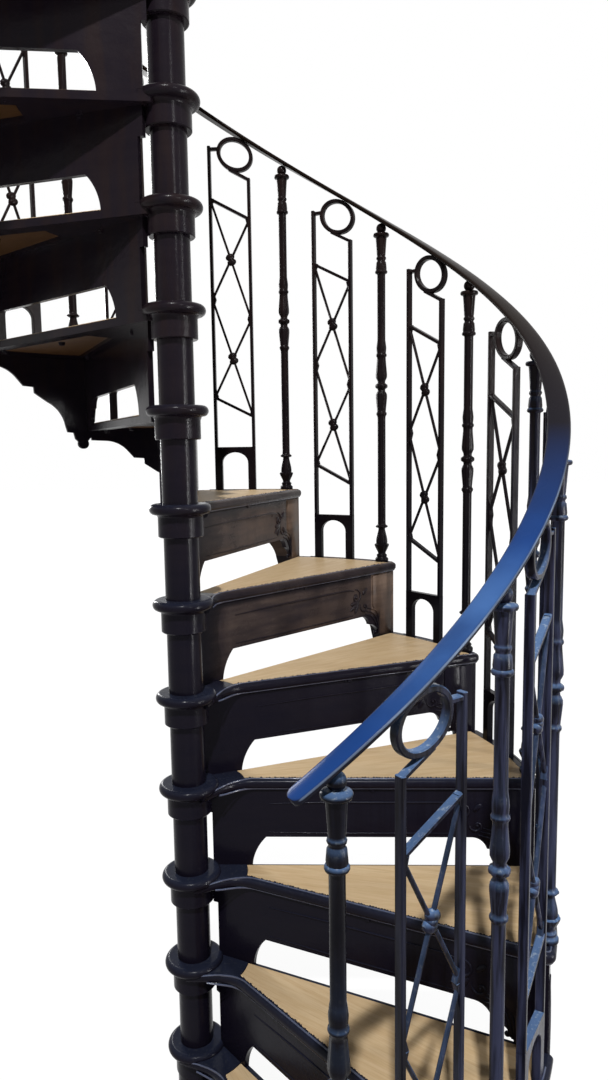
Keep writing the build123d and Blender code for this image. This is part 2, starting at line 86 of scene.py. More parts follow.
PANEL_R = 0.7446
PANEL_FRONT = math.radians(12.9)
PANEL_REAR = math.radians(21.6)
PANEL_T = 0.016
PANEL_POST_W = 0.009
PANEL_BAR_W = 0.008
PANEL_ROD_W = 0.0065
PANEL_FRONT_TOP = 0.893
PANEL_REAR_TOP = 0.985
PANEL_UPPER = (0.780, 0.840)       # height of the upper sloping bar at the front and rear posts
PANEL_LOWER = (0.217, 0.274)
PANEL_FOOT_TOP = 0.1276
PANEL_ARCH_W = 0.077
PANEL_ARCH_CROWN = 0.016
RING_LONG = 0.055
RING_SHORT = 0.0445
RING_BAND = 0.0105
RING_SHIFT = 0.018
KNOT_R = 0.0145

RAIL_R = 0.744
RAIL_W = 0.040
RAIL_T = 0.011
RAIL_OVERHANG = math.radians(4.4)
RAIL_END_R = 0.012

FLANGE_TOP = 0.016
BOLT_CIRCLE_R = 0.088
BOLT_ACROSS_FLATS = 0.019
# Radius and angle in degrees of the bolts under a tread.
UNDERSIDE_BOLTS = ((0.175, 14.5), (0.40, 5.4), (0.66, 4.4), (0.42, 22.6), (0.66, 24.0))

CLIMB = RISE / (TREAD_ANGLE * PANEL_R)
SLOPE = math.hypot(1, CLIMB)
CLEAR = 0.0003
RAIL_UNDERSIDE = BALL_CENTRE + (BALL_R + CLEAR) * SLOPE


# ---------------------------------------------------------------- node trees
class Value:
    """A socket in Python arithmetic: each operation adds its Math node."""

    def __init__(self, tree, socket):
        self.tree, self.socket = tree, socket

    def math(self, operation, *others):
        inputs = dict(enumerate((self, *others)))
        return self.tree.node("ShaderNodeMath", {"operation": operation}, inputs)

    def __add__(self, other):
        return self.math("ADD", other)

    def __mul__(self, other):
        return self.math("MULTIPLY", other)

    def __sub__(self, other):
        return self.math("SUBTRACT", other)

    def __rsub__(self, other):
        return self * -1.0 + other

    def __pow__(self, other):
        return self.math("POWER", other)

    def held(self):
        """The value kept between 0 and 1."""
        return self.math("MAXIMUM", 0.0).math("MINIMUM", 1.0)

    def between(self, low, high):
        """0 at low, 1 at high and in line between them."""
        return ((self - low) * (1.0 / (high - low))).held()


class Tree:
    """A node tree whose nodes all come from one method."""

    def __init__(self, tree):
        self.tree = tree

    def node(self, kind, settings=None, inputs=None, output=0):
        """Adds a node, applies its settings, fills its sockets and gives one of its outputs."""
        made = self.tree.nodes.new(kind)
        for name, value in (settings or {}).items():
            setattr(made, name, value)
        for name, value in (inputs or {}).items():
            if isinstance(value, Value):
                self.tree.links.new(value.socket, made.inputs[name])
            else:
                made.inputs[name].default_value = value
        return Value(self, made.outputs[output]) if len(made.outputs) else None

    def noise(self, vector, scale, detail, roughness=0.5):
        return self.node("ShaderNodeTexNoise", None, {
            "Vector": vector, "Scale": scale, "Detail": detail, "Roughness": roughness})

    def mix(self, factor, first, second):
        """Mix of two colours."""
        return self.node("ShaderNodeMix", {"data_type": "RGBA"},
                         {0: factor, 6: first, 7: second}, output=2)

    def stretched(self, vector, scale):
        return self.node("ShaderNodeMapping", None, {"Vector": vector, "Scale": scale})


def new_material(name):
    material = bpy.data.materials.new(name)
    material.use_nodes = True
    material.node_tree.nodes.clear()
    return material, Tree(material.node_tree)


def finish_surface(tree, settings):
    """Ends a tree in a Principled surface with these sockets."""
    surface = tree.node("ShaderNodeBsdfPrincipled", None, settings)
    tree.node("ShaderNodeOutputMaterial", None, {"Surface": surface})


# ---------------------------------------------------------------- finishes
PAINT = (0.0052, 0.0045, 0.0108, 1)
RAIL_PAINT = (0.0022, 0.0022, 0.0048, 1)
# a browner tone, in streaks, higher up the stair
UPPER_BROWN = (0.0160, 0.0085, 0.0080, 1)
# painted blue reflection streaks on the lower sides of the castings
SIDE_SKY_REFLECTION = (0.0440, 0.0500, 0.1000, 1)
# painted blue sky reflection on the lower tops, and the pale glints painted in it
TOP_SKY_REFLECTION = (0.120, 0.220, 0.430, 1)
PAINTED_GLINT = (0.480, 0.580, 0.700, 1)
DUST = (0.170, 0.118, 0.090, 1)
# painted handrail light: a blue sky reflection on its top, a pale highlight band and a highlight on its
# outer rim
RAIL_SKY_REFLECTION = (0.017, 0.064, 0.250, 1)
RAIL_PAINTED_HIGHLIGHT = (0.085, 0.200, 0.480, 1)
RAIL_RIM_HIGHLIGHT = (0.300, 0.400, 0.580, 1)
# painted highlight on the nosing beads
BEAD_HIGHLIGHT = (0.064, 0.066, 0.102, 1)
RAIL_SIDE = (0.012, 0.012, 0.020, 1)
# painted brown reflection on the handrail higher up
RAIL_BROWN_REFLECTION = (0.012, 0.007, 0.005, 1)
WOOD_PALE = (0.640, 0.480, 0.290, 1)
WOOD_WARM = (0.520, 0.350, 0.180, 1)
WOOD_LINE = (0.360, 0.215, 0.100, 1)
# painted shade on the boards' undersides and edges
WOOD_UNDERSIDE_SHADE = (0.060, 0.028, 0.011, 1)
BOLT_GREY = (0.35, 0.34, 0.33, 1)
BASE_GLOSS = 0.06                   # a small gloss keeps the paint black in a white studio

# Shares of a rise, counted up from a tread's top.
NOSING_SHARE = (0.87, 0.89)         # the next nosing starts
SHADED_SHARE = (0.80, 0.86)         # painted shade: the strip under the next nosing gets less dust, so it reads dark
LEG_SHARE = (0.30, 0.36)            # the outer leg widens
PILASTER_SHARE = (0.28, 0.40)
# Radii, in metres from the newel's axis.
HUB_CLEAN = (0.08, 0.16)            # no dust nearer than this
OUTER_LEG = (0.60, 0.63)
PILASTER_REACH = (0.652, 0.658)     # the dust thickens
PILASTER_FOOT = (0.684, 0.692)
# Heights, in metres above the floor.
DUSTY_FROM, DUSTY_TO = 1.0, 1.4     # the two dusty steps
DUST_EDGE = 0.02
SKY_REFLECTION_FADES = (1.45, 1.85)          # the painted blue sky reflection fades out
# the paint turns browner between these heights
BROWNING_HEIGHTS = (1.2, 1.8)
# Places across and behind the newel, in metres.
DUSTY_SIDE = (0.02, 0.06)
# the painted blue reflection streaks come in across this
SKY_REFLECTION_ACROSS = (0.25, 0.55)
SKY_REFLECTION_BACK = (0.02, 0.14)           # the painted sky reflection stops behind this
# Heights along the handrail.
# Painted light on the handrail: where its blue sky reflection ends, where its brown reflection comes, where
# its pale highlight band rises and falls, and the outer rim strip that gets a highlight.
RAIL_SKY_REFLECTION_ENDS = (1.38, 1.56)
RAIL_BROWN_REFLECTION_FROM = (1.45, 1.8)
RAIL_HIGHLIGHT_FROM = (1.16, 1.29)
RAIL_HIGHLIGHT_TO = (1.31, 1.38)
RAIL_RIM = (RAIL_R + RAIL_W / 2 - 0.0022, RAIL_R + RAIL_W / 2 - 0.0012)


def upward(tree):
    """How far a face looks up: 0 on walls and undersides, 1 on level tops."""
    normal = tree.node("ShaderNodeNewGeometry", output="Normal")
    return tree.node("ShaderNodeSeparateXYZ", None, {"Vector": normal}, output="Z").held()


def place_on_stair(tree):
    """The place, its parts across, behind and above, and its distance from the newel's axis."""
    place = tree.node("ShaderNodeTexCoord", output="Object")
    across, back, height = (tree.node("ShaderNodeSeparateXYZ", None, {"Vector": place}, output=axis)
                            for axis in "XYZ")
    return place, across, back, height, (across * across + back * back) ** 0.5


def casting_paint(name, base, dust=0.60, strip_dust=1.3, sky_reflection=0.05, browning=0.6, gloss=BASE_GLOSS):
    """Near-black gloss paint on cast iron: two dusty steps, painted shade under the nosings and on the outer
    legs, a painted blue sky reflection with glints on its lower tops, painted blue reflection streaks on its
    lower sides, and a browner tone higher up.

    dust is for the plain faces and strip_dust for the pilasters.
    """
    material, tree = new_material(name)
    place, across, back, height, radius = place_on_stair(tree)
    share = (height * (1.0 / RISE)).math("FRACT")
    lip = share.between(*NOSING_SHARE)
    shaded = share.between(*SHADED_SHARE) - lip
    leg = radius.between(*OUTER_LEG) * (1.0 - share.between(*LEG_SHARE))
    # Painted shade: less dust on the strip under the next nosing and on the outer leg's curve below the
    # band, so these read dark.
    dust_and_shade = radius.between(*HUB_CLEAN) * (1.0 - lip * 0.65 - shaded * 0.80) * (1.0 - leg * 0.8)
    pilaster = (radius.between(*PILASTER_REACH) * share.between(*PILASTER_SHARE)).math(
        "MAXIMUM", radius.between(*PILASTER_FOOT))
    dust_and_shade = dust_and_shade * dust + pilaster * (1.0 - lip) * strip_dust
    dusty = height.between(DUSTY_FROM, DUSTY_FROM + DUST_EDGE)
    dusty = dusty * (1.0 - height.between(DUSTY_TO, DUSTY_TO + DUST_EDGE))
    dusty = dusty * across.between(*DUSTY_SIDE) * (height.between(DUSTY_FROM, DUSTY_TO) * 0.8 + 0.4)
    aged = height.between(0.9, 1.9) * 0.02 + dust_and_shade * dusty + 0.02
    top = upward(tree)
    cloud = tree.noise(place, 9.0, 4.0).between(0.38, 0.68)
    streaks = tree.noise(tree.stretched(place, (9.0, 9.0, 55.0)), 1.0, 4.0).between(0.35, 0.70)
    grain = tree.noise(place, 240.0, 2.0)
    film = ((cloud * 0.4 + streaks * 0.4 + 0.25 + top * 0.3) * aged).held()
    # Painted light: a blue sky reflection with pale glints on the lower tops, fading higher up and behind
    # the newel.
    low = (1.0 - height.between(*SKY_REFLECTION_FADES)) * (1.0 - back.between(*SKY_REFLECTION_BACK))
    painted_top_reflection = (top ** 1.3 * low * (cloud * 0.35 + 0.75) * sky_reflection).held()
    glints = tree.noise(place, 150.0, 3.0).between(0.56, 0.70) * 0.7
    runs = tree.noise(tree.stretched(place, (30.0, 30.0, 5.0)), 1.0, 3.0).between(0.45, 0.65)
    # Painted blue reflection streaks on the lower sides, towards +X.
    reflection_streaks = tree.noise(tree.stretched(place, (110.0, 110.0, 7.0)), 1.0, 3.0).between(0.42, 0.62)
    colour = tree.mix(low * across.between(*SKY_REFLECTION_ACROSS) * (reflection_streaks * 0.8 + 0.1) * sky_reflection, base, SIDE_SKY_REFLECTION)
    # browner in streaks higher up
    colour = tree.mix((runs * 0.6 + 0.4) * height.between(*BROWNING_HEIGHTS) * browning, colour, UPPER_BROWN)
    colour = tree.mix(painted_top_reflection, colour, tree.mix(glints, TOP_SKY_REFLECTION, PAINTED_GLINT))
    colour = tree.mix(film, colour, DUST)
    roughness = grain * 0.10 + film * 0.25 + cloud * 0.06 + 0.14
    relief = tree.noise(place, 60.0, 3.0) + grain * 0.2
    normal = tree.node("ShaderNodeBump", None, {"Strength": 0.22, "Distance": 0.002, "Height": relief})
    finish_surface(tree, {"Base Color": colour, "Roughness": roughness, "Normal": normal,
                          "Specular IOR Level": gloss})
    return material


def rail_paint():
    """Near-black gloss paint on the handrail, with a painted blue sky reflection, a painted pale highlight
    band and a painted highlight along its outer rim near the foot, and a painted brown reflection higher up.
    """
    material, tree = new_material("rail_paint")
    place, _, _, height, radius = place_on_stair(tree)
    top = upward(tree)
    mottle = tree.noise(place, 9.0, 4.0).between(0.45, 0.7)
    # Painted light: a blue sky reflection on the top, a pale highlight band and a highlight on the outer
    # rim, all near the foot.
    sky_reflected = 1.0 - height.between(*RAIL_SKY_REFLECTION_ENDS)
    # painted brown reflection higher up, over the near-black paint
    deep = tree.mix(height.between(*RAIL_BROWN_REFLECTION_FROM), RAIL_SIDE, RAIL_BROWN_REFLECTION)
    pale_highlight = height.between(*RAIL_HIGHLIGHT_FROM) * (1.0 - height.between(*RAIL_HIGHLIGHT_TO)) * (mottle * -0.3 + 0.7)
    colour = tree.mix(top.between(0.45, 0.85) * sky_reflected * (mottle * -0.2 + 1.0), deep,
                      tree.mix(pale_highlight, RAIL_SKY_REFLECTION, RAIL_PAINTED_HIGHLIGHT))
    rim = radius.between(*RAIL_RIM)
    colour = tree.mix(rim * top.between(0.10, 0.35) * sky_reflected * (mottle * 0.5 + 0.3), colour, RAIL_RIM_HIGHLIGHT)
    ripple = tree.noise(place, 70.0, 2.0)
    normal = tree.node("ShaderNodeBump", None, {"Strength": 0.06, "Distance": 0.001, "Height": ripple})
    finish_surface(tree, {"Base Color": colour, "Roughness": mottle * 0.10 + 0.22, "Normal": normal,
                          "Specular IOR Level": 0.03})
    return material


def board_wood():
    """Plain light timber, its grain along the tread, each tread a little different, with painted shade on
    its undersides and edges.
    """
    material, tree = new_material("board_wood")
    flat = tree.node("ShaderNodeUVMap", {"uv_map": "grain"})
    step = tree.node("ShaderNodeAttribute", {"attribute_name": "step"}, output="Fac")
    offset = tree.node("ShaderNodeCombineXYZ", None, {"X": step * 1.7, "Y": step * 0.9, "Z": step * 3.1})
    place = tree.node("ShaderNodeVectorMath", {"operation": "ADD"}, {0: flat, 1: offset})
    figure = tree.noise(tree.stretched(place, (1.6, 14.0, 1.0)), 2.2, 3.0, 0.55)
    rings = (figure * 9.0).math("PINGPONG", 1.0)
    fibre = tree.noise(tree.stretched(place, (6.0, 190.0, 1.0)), 3.0, 4.0, 0.6)
    blotch = tree.noise(place, 3.5, 2.0).between(0.35, 0.7)
    warmth = (rings * 0.45 + fibre * 0.35 + blotch * 0.25 - 0.15).held()
    colour = tree.mix(warmth, WOOD_PALE, WOOD_WARM)
    colour = tree.mix(fibre.between(0.52, 0.76) * 0.45, colour, WOOD_LINE)
    # Painted shade: faces that don't look up get a dark colour.
    painted_underside_shade = tree.mix(fibre.between(0.55, 0.75) * 0.25, WOOD_UNDERSIDE_SHADE, WOOD_LINE)
    colour = tree.mix(upward(tree).between(0.0, 0.2), painted_underside_shade, colour)
    normal = tree.node("ShaderNodeBump", None, {"Strength": 0.15, "Distance": 0.0006, "Height": fibre})
    finish_surface(tree, {"Base Color": colour, "Roughness": fibre * 0.15 + 0.40, "Normal": normal,
                          "Specular IOR Level": 0.10})
    return material


def bolt_steel():
    """Dull zinc-grey steel for the floor bolts."""
    material, tree = new_material("bolt_steel")
    place = tree.node("ShaderNodeTexCoord", output="Object")
    spots = tree.noise(place, 120.0, 3.0)
    finish_surface(tree, {"Base Color": BOLT_GREY, "Metallic": 1.0,
                          "Roughness": spots * 0.25 + 0.30})
    return material


# ---------------------------------------------------------------- mesh helpers
class Shape:
    """Vertices and faces gathered from simple solids."""

    def __init__(self):
        self.points, self.faces = [], []

    def loft(self, rings, closed=False):
        """Skin through rings of equal length, ends capped unless the run is closed."""
        start, count = len(self.points), len(rings[0])
        for ring in rings:
            self.points.extend(ring)
        spans = len(rings) if closed else len(rings) - 1
        for span in range(spans):
            here, there = start + span * count, start + (span + 1) % len(rings) * count
            for i in range(count):
                j = (i + 1) % count
                self.faces.append((here + i, here + j, there + j, there + i))
        if not closed:
            self.faces.append(tuple(start + i for i in reversed(range(count))))
            self.faces.append(tuple(start + (len(rings) - 1) * count + i for i in range(count)))

    def ball(self, centre, axes, around=12, up=8):
        """Ellipsoid whose half sizes and directions are three vectors."""
        rings = []
        for i in range(1, up):
            lean = math.pi * (i / up - 0.5)
            ring = [centre + axes[2] * math.sin(lean)
                    + (axes[0] * math.cos(turn) + axes[1] * math.sin(turn)) * math.cos(lean)
                    for turn in turns(around)]
            rings.append(ring)
        self.loft(rings)

    def moved(self, matrix):
        """A copy with every point moved."""
        copy = Shape()
        copy.points = [matrix @ Vector(point) for point in self.points]
        copy.faces = list(self.faces)
        return copy

    def take(self, other):
        """Adds another shape's solids."""
        offset = len(self.points)
        self.points.extend(other.points)
        self.faces.extend(tuple(i + offset for i in face) for face in other.faces)

    def mesh(self, name, sharp):
        """The finished mesh, smooth but for edges that turn more than the angle in degrees."""
        mesh = bpy.data.meshes.new(name)
        mesh.from_pydata([tuple(point) for point in self.points], [], self.faces)
        mesh.validate()
        outwards(mesh)
        mesh.polygons.foreach_set("use_smooth", [True] * len(mesh.polygons))
        mesh.set_sharp_from_angle(angle=math.radians(sharp))
        return mesh


def outwards(mesh):
    """Turns every face of closed shells outwards."""
    work = bmesh.new()
    work.from_mesh(mesh)
    bmesh.ops.recalc_face_normals(work, faces=work.faces)
    work.to_mesh(mesh)
    work.free()


def turns(count):
    return [2 * math.pi * i / count for i in range(count)]


def polar(radius, angle, height=0.0):
    return Vector((radius * math.cos(angle), radius * math.sin(angle), height))


def outward(point):
    """The level direction from the newel's axis to a point."""
    return Vector((point.x, point.y, 0)).normalized()


def on_circle(radius, y):
    """X where a circle round the newel passes this Y."""
    return math.sqrt(radius * radius - y * y)


def eased_section(width, depth, corner):
    """Points of a rectangle about its middle, its corners cut."""
    points = []
    for quarter, (sx, sy) in enumerate(((1, 1), (-1, 1), (-1, -1), (1, -1))):
        for turn in (math.pi / 2 * quarter, math.pi / 2 * (quarter + 1)):
            points.append((sx * (width / 2 - corner) + corner * math.cos(turn),
                           sy * (depth / 2 - corner) + corner * math.sin(turn)))
    return points


def sweep(shape, path, section, side, closed=False):
    """Carries a flat section along a path; side is the direction of the section's second axis."""
    rings = []
    for i, point in enumerate(path):
        before = path[i - 1] if i or closed else path[i]
        after = path[(i + 1) % len(path)] if i + 1 < len(path) or closed else path[i]
        along = (after - before).normalized()
        towards = side(point) if callable(side) else side
        across = along.cross(towards).normalized()
        upright = across.cross(along).normalized()
        size = section(i / (len(path) - 1)) if callable(section) else section
        rings.append([point + across * a + upright * b for a, b in size])
    shape.loft(rings, closed)


def plate(shape, outline, thickness, edge, to_space):
    """Flat plate with eased edges from an outline; to_space takes a point and a depth."""
    inner = inset(outline, edge)
    half = thickness / 2
    layers = ((inner, -half), (outline, -half + edge), (outline, half - edge), (inner, half))
    shape.loft([[to_space(point, depth) for point in points] for points, depth in layers])


def inset(outline, distance):
    """The outline moved inwards by a distance; its points run counter-clockwise."""
    moved = []
    for i, point in enumerate(outline):
        before, after = outline[i - 1], outline[(i + 1) % len(outline)]
        first = Vector((point[0] - before[0], point[1] - before[1])).normalized()
        second = Vector((after[0] - point[0], after[1] - point[1])).normalized()
        normal = Vector((-first.y - second.y, first.x + second.x))
        reach = 2 * distance / max(normal.length_squared, 0.5)
        moved.append((point[0] + normal.x * reach, point[1] + normal.y * reach))
    return moved


def smooth_run(points, count):
    """Points along a smooth curve through the given ones."""
    ends = [points[0] * 2 - points[1], *points, points[-1] * 2 - points[-2]]
    spans = len(points) - 1
    run = []
    for i in range(count + 1):
        place = min(i * spans / count, spans - 1e-9)
        k, t = int(place), place - int(place)
        a, b, c, d = ends[k:k + 4]
        run.append(0.5 * (2 * b + (c - a) * t + (2 * a - 5 * b + 4 * c - d) * t ** 2
                          + (3 * b - a - 3 * c + d) * t ** 3))
    return run


# ---------------------------------------------------------------- pieces on the frame
def step_matrix(step):
    """From the tread's own frame to its place on the stair; steps count from 1."""
    turn = Matrix.Rotation(FIRST_ANGLE + (step - 1) * TREAD_ANGLE, 4, "Z")
    return Matrix.Translation((0, 0, RISE * step)) @ turn


def new_object(name, data):
    """An object in the scene."""
    made = bpy.data.objects.new(name, data)
    bpy.context.scene.collection.objects.link(made)
    return made


def add_piece(name, mesh, material, slot, *stands_for):
    """Puts a finished mesh on the stair."""
    mesh.materials.clear()
    mesh.materials.append(material)
    piece = new_object(name, mesh)
    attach(piece, "root")
    if stands_for:
        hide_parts(*stands_for)


def new_growth(name, sockets):
    """An empty Geometry Nodes tree with named inputs, and those inputs by name."""
    group = bpy.data.node_groups.new(name, "GeometryNodeTree")
    for label, kind in sockets.items():
        group.interface.new_socket(label, in_out="INPUT", socket_type=kind)
    group.interface.new_socket("Geometry", in_out="OUTPUT", socket_type="NodeSocketGeometry")
    tree = Tree(group)
    entry = group.nodes.new("NodeGroupInput")
    return tree, {label: Value(tree, entry.outputs[label]) for label in sockets}


def end_growth(tree, geometry, material):
    """Realizes the instances, sets their material and ends the tree."""
    real = tree.node("GeometryNodeRealizeInstances", None, {"Geometry": geometry})
    painted = tree.node("GeometryNodeSetMaterial", None, {"Geometry": real, "Material": material})
    tree.node("NodeGroupOutput", None, {"Geometry": painted})
    return tree.tree


def stair_growth():
    """Repeats one unit at every step, turned and lifted, and numbers its copies."""
    tree, given = new_growth("Repeat up the stair", {
        "Unit": "NodeSocketObject", "Steps": "NodeSocketInt", "Rise": "NodeSocketFloat",
        "First turn": "NodeSocketFloat", "Turn": "NodeSocketFloat", "Material": "NodeSocketMaterial"})
    lift = tree.node("ShaderNodeCombineXYZ", None, {"Z": given["Rise"]})
    line = tree.node("GeometryNodeMeshLine", None,
                     {"Count": given["Steps"], "Start Location": lift, "Offset": lift})
    index = tree.node("GeometryNodeInputIndex")
    turn = tree.node("ShaderNodeCombineXYZ", None, {"Z": index * given["Turn"] + given["First turn"]})
    unit = tree.node("GeometryNodeObjectInfo", None, {"Object": given["Unit"]}, output="Geometry")
    copies = tree.node("GeometryNodeInstanceOnPoints", None,
                       {"Points": line, "Instance": unit, "Rotation": turn})
    numbered = tree.node("GeometryNodeStoreNamedAttribute", {"data_type": "FLOAT", "domain": "INSTANCE"},
                         {"Geometry": copies, "Name": "step", "Value": index})
    return end_growth(tree, numbered, given["Material"])


def teeth_growth():
    """A row of small pointed teeth of uneven size along X."""
    tree, given = new_growth("Teeth along a nosing", {
        "From": "NodeSocketFloat", "Spacing": "NodeSocketFloat", "Count": "NodeSocketInt",
        "Radius": "NodeSocketFloat", "Height": "NodeSocketFloat", "Behind": "NodeSocketFloat",
        "Seed": "NodeSocketInt", "Material": "NodeSocketMaterial"})
    start = tree.node("ShaderNodeCombineXYZ", None, {"X": given["From"], "Y": given["Behind"]})
    gap = tree.node("ShaderNodeCombineXYZ", None, {"X": given["Spacing"]})
    line = tree.node("GeometryNodeMeshLine", None,
                     {"Count": given["Count"], "Start Location": start, "Offset": gap})
    tooth = tree.node("GeometryNodeMeshCone", None, {
        "Vertices": 5, "Radius Bottom": given["Radius"], "Radius Top": 0.0003, "Depth": given["Height"]})
    size = tree.node("FunctionNodeRandomValue", {"data_type": "FLOAT"},
                     {2: 0.45, 3: 1.25, "Seed": given["Seed"]}, output=1)
    lean = tree.node("FunctionNodeRandomValue", {"data_type": "FLOAT_VECTOR"},
                     {0: (-0.3, -0.3, 0.0), 1: (0.1, 0.3, 3.0), "Seed": given["Seed"]})
    copies = tree.node("GeometryNodeInstanceOnPoints", None, {
        "Points": line, "Instance": tooth, "Rotation": lean, "Scale": size})
    return end_growth(tree, copies, given["Material"])


def grown(group, values):
    """The plain mesh that a growth gives for these inputs."""
    carrier = new_object("carrier", bpy.data.meshes.new("carrier"))
    modifier = carrier.modifiers.new("growth", "NODES")
    modifier.node_group = group
    for item in group.interface.items_tree:
        if item.in_out == "INPUT":
            modifier[item.identifier] = values[item.name]
    graph = bpy.context.evaluated_depsgraph_get()
    mesh = bpy.data.meshes.new_from_object(carrier.evaluated_get(graph))
    carrier.modifiers.clear()
    bpy.data.objects.remove(carrier)
    return mesh


def up_the_stair(name, mesh, material, slot, *stands_for):
    """One piece made of a unit repeated at every step."""
    unit = new_object(name + "_unit", mesh)
    whole = grown(STAIR_GROWTH, {
        "Unit": unit, "Steps": TREADS, "Rise": RISE, "First turn": FIRST_ANGLE,
        "Turn": TREAD_ANGLE, "Material": material})
    bpy.data.objects.remove(unit)
    add_piece(name, whole, material, slot, *stands_for)


# ---------------------------------------------------------------- balusters
# Radius and height of the turned profile in millimetres, from the foot upwards, and what
# is carved on each stretch.
BALUSTER_PROFILE = (
    (17.5, 0, ""), (18.5, 2, ""), (18.5, 8, ""), (17.0, 10.5, ""), (14.5, 12, ""), (13.6, 15, ""),
    (15.0, 17, ""), (14.2, 20, ""), (11.2, 22, ""), (10.8, 25, ""), (12.0, 28, "petals"),
    (15.0, 34, "petals"), (18.0, 40, "petals"), (20.4, 46, "petals"), (20.8, 49, "petals"),
    (18.6, 50.5, "petals"), (15.8, 51, "lobes"), (16.2, 57, "lobes"), (15.6, 64, "lobes"),
    (14.0, 72, "lobes"), (12.0, 80, "lobes"), (10.0, 88, ""), (9.3, 93, ""), (10.0, 95, ""),
    (15.5, 96.5, "star"), (17.2, 98.5, "star"), (17.2, 100.5, "star"), (14.5, 103, "star"),
    (11.4, 105, ""), (11.0, 110, ""), (11.0, 250, ""), (11.0, 396, ""), (11.2, 404, ""),
    (12.6, 408, ""), (14.2, 410, ""), (14.6, 413, ""), (13.8, 416, ""), (12.0, 418, ""),
    (12.4, 424, "leaves"), (13.4, 434, "leaves"), (14.6, 446, "leaves"), (15.6, 458, "leaves"),
    (15.4, 465, "leaves"), (12.8, 471, "leaves"), (10.6, 474, ""), (10.2, 479, ""),
    (12.0, 481, "star"), (16.4, 484, "star"), (17.2, 488, "star"), (16.4, 492, "star"),
    (12.0, 495, "star"), (10.2, 497, ""), (10.6, 502, ""), (12.8, 506, "leaves"),
    (15.4, 512, "leaves"), (15.6, 520, "leaves"), (14.6, 532, "leaves"), (13.4, 546, "leaves"),
    (12.4, 558, "leaves"), (12.0, 566, ""), (13.8, 568, ""), (14.8, 571, ""), (14.2, 574, ""),
    (12.4, 577, ""), (13.2, 584, ""), (13.6, 592, ""), (12.2, 604, ""), (11.0, 612, ""),
    (11.0, 700, ""), (11.0, 786, ""), (12.0, 788, ""), (15.6, 789.5, ""), (16.8, 792, ""),
    (16.8, 794, ""), (15.6, 796.5, ""), (14.2, 798, "cuff"), (14.8, 802, "cuff"),
    (14.0, 811, "cuff"), (13.4, 818, "cuff"), (11.2, 821, ""), (10.8, 824, ""),
    (12.6, 826, "beads"), (13.6, 829, "beads"), (12.6, 832, "beads"),
    (11.0, 834, ""), (11.8, 838, ""), (12.6, 850, "cuff"), (13.8, 868, "cuff"),
    (14.8, 880, "cuff"), (15.2, 884, ""), (20.2, 885.5, ""), (21.5, 888, ""), (21.5, 891, ""),
    (20.0, 893.5, ""), (12.0, 895, ""), (8.6, 895.8, ""))
CARVING = {                         # how many round the baluster, and how deep in millimetres
    "": (1, 0.0), "petals": (8, 1.5), "lobes": (8, 0.9), "star": (8, 1.5),
    "leaves": (6, 1.3), "cuff": (12, 0.35), "beads": (14, 0.8)}
BALUSTER_AROUND = 48


def carved(radius, carving, turn):
    """Radius at a turn, with a carving of pointed lobes cut into it."""
    count, depth = CARVING[carving]
    return radius - depth * (1 - abs(math.cos(count * turn / 2)))


def baluster_mesh():
    """Turned and carved baluster with its ball, in the tread's frame."""
    foot = polar(BALUSTER_R, BALUSTER_ANGLE)
    shape = Shape()
    rings = []
    for radius, height, carving in BALUSTER_PROFILE:
        rings.append([foot + polar(carved(radius, carving, turn) / 1000, turn, height / 1000)
                      for turn in turns(BALUSTER_AROUND)])
    lowest, highest, stages = -math.acos(BALL_ROOT_R / BALL_R), math.radians(84), 11
    for i in range(stages):
        lean = lowest + (highest - lowest) * i / (stages - 1)
        rings.append([foot + polar(BALL_R * math.cos(lean), turn, BALL_CENTRE + BALL_R * math.sin(lean))
                      for turn in turns(BALUSTER_AROUND)])
    shape.loft(rings)
    return shape.mesh("baluster_unit", sharp=50.0)


# ---------------------------------------------------------------- rail panels
def panel_space():
    """The matrix from the panel's own frame (U, D, Z) to the tread's frame."""
    middle = (PANEL_FRONT + PANEL_REAR) / 2
    out = polar(1.0, middle)
    along = Vector((-math.sin(middle), math.cos(middle), 0))
    origin = out * PANEL_R * math.cos((PANEL_REAR - PANEL_FRONT) / 2)
    return Matrix(((along.x, out.x, 0, origin.x), (along.y, out.y, 0, origin.y),
                   (0, 0, 1, 0), (0, 0, 0, 1)))


def panel_point(u, z, depth=0.0):
    return Vector((u, depth, z))


def panel_bar(shape, start, end, width, depth, corner=0.0016):
    """Straight bar with eased edges between two points of the panel."""
    first, last = panel_point(*start), panel_point(*end)
    ease = (last - first).normalized() * corner / 2
    full = eased_section(width, depth, corner)
    slim = eased_section(width - corner, depth - corner, corner / 2)
    sizes = (slim, full, full, slim)
    path = (first, first + ease, last - ease, last)
    rings = []
    across = ease.normalized().cross(Vector((0, 1, 0)))
    for point, size in zip(path, sizes):
        rings.append([point + across * a + Vector((0, 1, 0)) * b for a, b in size])
    shape.loft(rings)


def ring_centre():
    """Middle of the oval ring, which hangs just under the handrail."""
    middle = (PANEL_FRONT + PANEL_REAR) / 2
    turn = middle - RING_SHIFT / PANEL_R
    underside = RAIL_UNDERSIDE + RISE * (turn - BALUSTER_ANGLE) / TREAD_ANGLE
    return -RING_SHIFT, underside - (RING_SHORT + CLEAR) * SLOPE


def oval_ring(shape):
    """The ring: an oval band whose long way runs parallel to the handrail."""
    u, z = ring_centre()
    lean = math.atan(CLIMB)
    long, short = RING_LONG - RING_BAND / 2, RING_SHORT - RING_BAND / 2
    path = []
    for turn in turns(48):
        a, b = long * math.cos(turn), short * math.sin(turn)
        path.append(panel_point(u + a * math.cos(lean) - b * math.sin(lean),
                                z + a * math.sin(lean) + b * math.cos(lean)))
    section = eased_section(RING_BAND, PANEL_T, 0.0020)
    sweep(shape, path, section, Vector((0, 1, 0)), closed=True)


